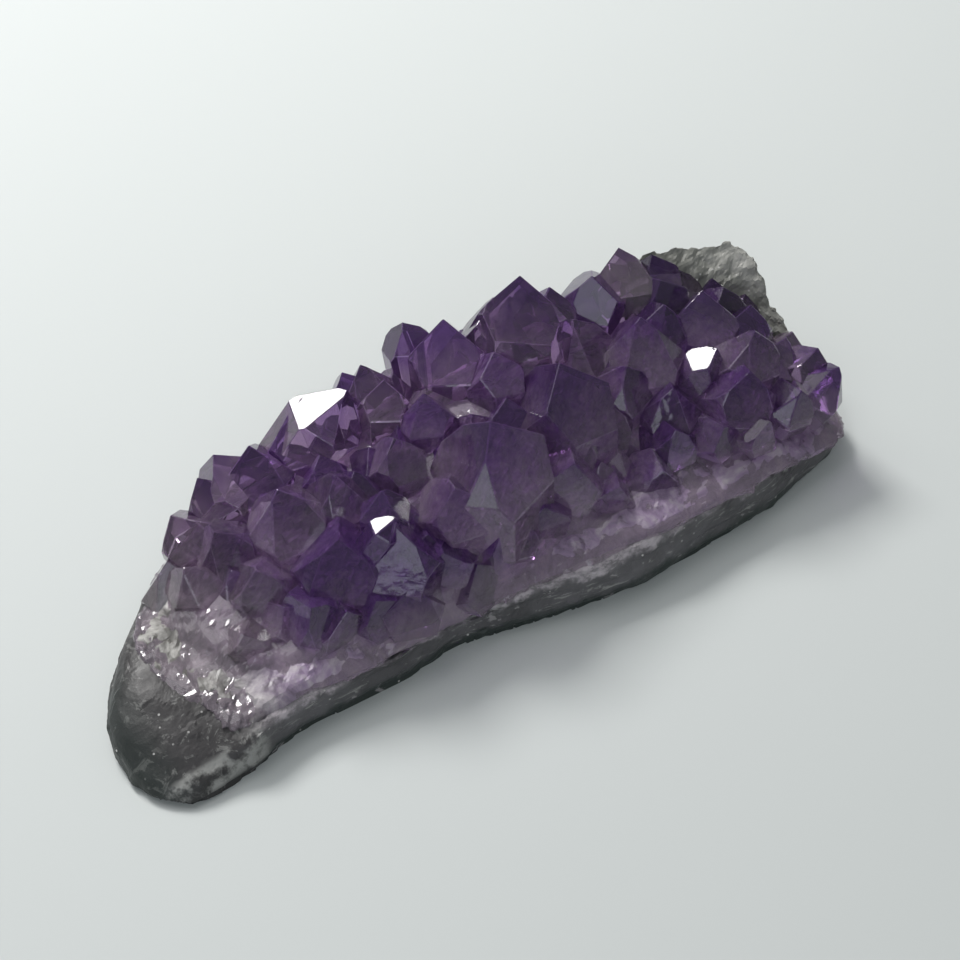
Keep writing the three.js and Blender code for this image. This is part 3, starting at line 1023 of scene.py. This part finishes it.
class CLUSTER_OT_stage(bpy.types.Operator):
    """Makes the floor, the lights and the camera"""

    bl_idname = "cluster.stage"
    bl_label = "Stage"

    def execute(self, context):
        scene = context.scene
        settings = scene.cluster_stage
        bm = bmesh.new()
        bmesh.ops.create_grid(bm, x_segments=1, y_segments=1, size=3)
        floor = bpy.data.objects.new("floor", mesh_of(bm, "floor"))
        floor.data.materials.append(floor_material(settings))
        scene.collection.objects.link(floor)

        world = bpy.data.worlds.new("sky")
        scene.world = world
        world.use_nodes = True
        background = world.node_tree.nodes["Background"]
        background.inputs["Color"].default_value = (0.95, 1.0, 1.0, 1)
        background.inputs["Strength"].default_value = settings.sky

        centre = Vector((0, 0, AIM * MM))
        self.window(
            "key", centre, azimuth=95, elevation=48, distance=0.75, size=(0.25, 0.23),
            power=settings.key, colour=(1.0, 0.99, 0.97),
        )
        self.window(
            "soft", centre, azimuth=112, elevation=60, distance=1.0, size=(0.9, 0.9),
            power=settings.soft, colour=(1.0, 1.0, 1.0),
        )
        self.window(
            "fill", centre, azimuth=230, elevation=28, distance=1.0, size=(0.7, 0.45),
            power=settings.fill, colour=(0.86, 0.93, 1.0),
        )

        camera = bpy.data.objects.new("camera", bpy.data.cameras.new("camera"))
        camera.data.lens = settings.lens
        camera.data.sensor_width = 36
        camera.data.clip_start = 0.01
        back = self.way(math.degrees(settings.azimuth) - 90, math.degrees(settings.elevation))
        camera.location = centre + back * settings.distance
        camera.rotation_euler = (-back).to_track_quat("-Z", "Y").to_euler()
        scene.collection.objects.link(camera)
        scene.camera = camera
        scene.view_settings.view_transform = "Standard"
        return {"FINISHED"}

    @staticmethod
    def way(azimuth, elevation):
        """The unit vector at that many degrees round from +X and up from the floor."""
        a, e = math.radians(azimuth), math.radians(elevation)
        return Vector((math.cos(a) * math.cos(e), math.sin(a) * math.cos(e), math.sin(e)))

    def window(self, name, centre, azimuth, elevation, distance, size, power, colour):
        """A rectangular soft light that faces the cluster."""
        light = bpy.data.lights.new(name, "AREA")
        light.shape = "RECTANGLE"
        light.size, light.size_y = size
        light.energy = power
        light.color = colour
        lamp = bpy.data.objects.new(name, light)
        back = self.way(azimuth, elevation)
        lamp.location = centre + back * distance
        lamp.rotation_euler = (-back).to_track_quat("-Z", "Y").to_euler()
        bpy.context.scene.collection.objects.link(lamp)


class CLUSTER_PT_panel(bpy.types.Panel):
    """Lists the cluster's pieces and their settings"""

    bl_idname = "CLUSTER_PT_panel"
    bl_label = "Amethyst cluster"
    bl_space_type = "VIEW_3D"
    bl_region_type = "UI"
    bl_category = "Amethyst"

    def draw(self, context):
        for operator, group in (
            ("cluster.rock", context.scene.cluster_rock),
            ("cluster.crystals", context.scene.cluster_crystals),
            ("cluster.milky_quartz", context.scene.cluster_root),
            ("cluster.stage", context.scene.cluster_stage),
        ):
            box = self.layout.box()
            box.operator(operator)
            for key in group.bl_rna.properties.keys():
                if key not in {"rna_type", "name"}:
                    box.prop(group, key)


GROUPS = {
    "cluster_rock": RockSettings,
    "cluster_crystals": CrystalSettings,
    "cluster_root": RootSettings,
    "cluster_stage": StageSettings,
}
CLASSES = (
    *GROUPS.values(), CLUSTER_OT_rock, CLUSTER_OT_crystals, CLUSTER_OT_milky_quartz, CLUSTER_OT_stage,
    CLUSTER_PT_panel,
)


def register():
    for made in CLASSES:
        bpy.utils.register_class(made)
    for name, group in GROUPS.items():
        setattr(bpy.types.Scene, name, PointerProperty(type=group))


def unregister():
    for name in GROUPS:
        delattr(bpy.types.Scene, name)
    for made in reversed(CLASSES):
        bpy.utils.unregister_class(made)


def main():
    register()
    bpy.ops.cluster.rock()
    bpy.ops.cluster.crystals()
    bpy.ops.cluster.milky_quartz()
    bpy.ops.cluster.stage()


if __name__ == "__main__":
    main()
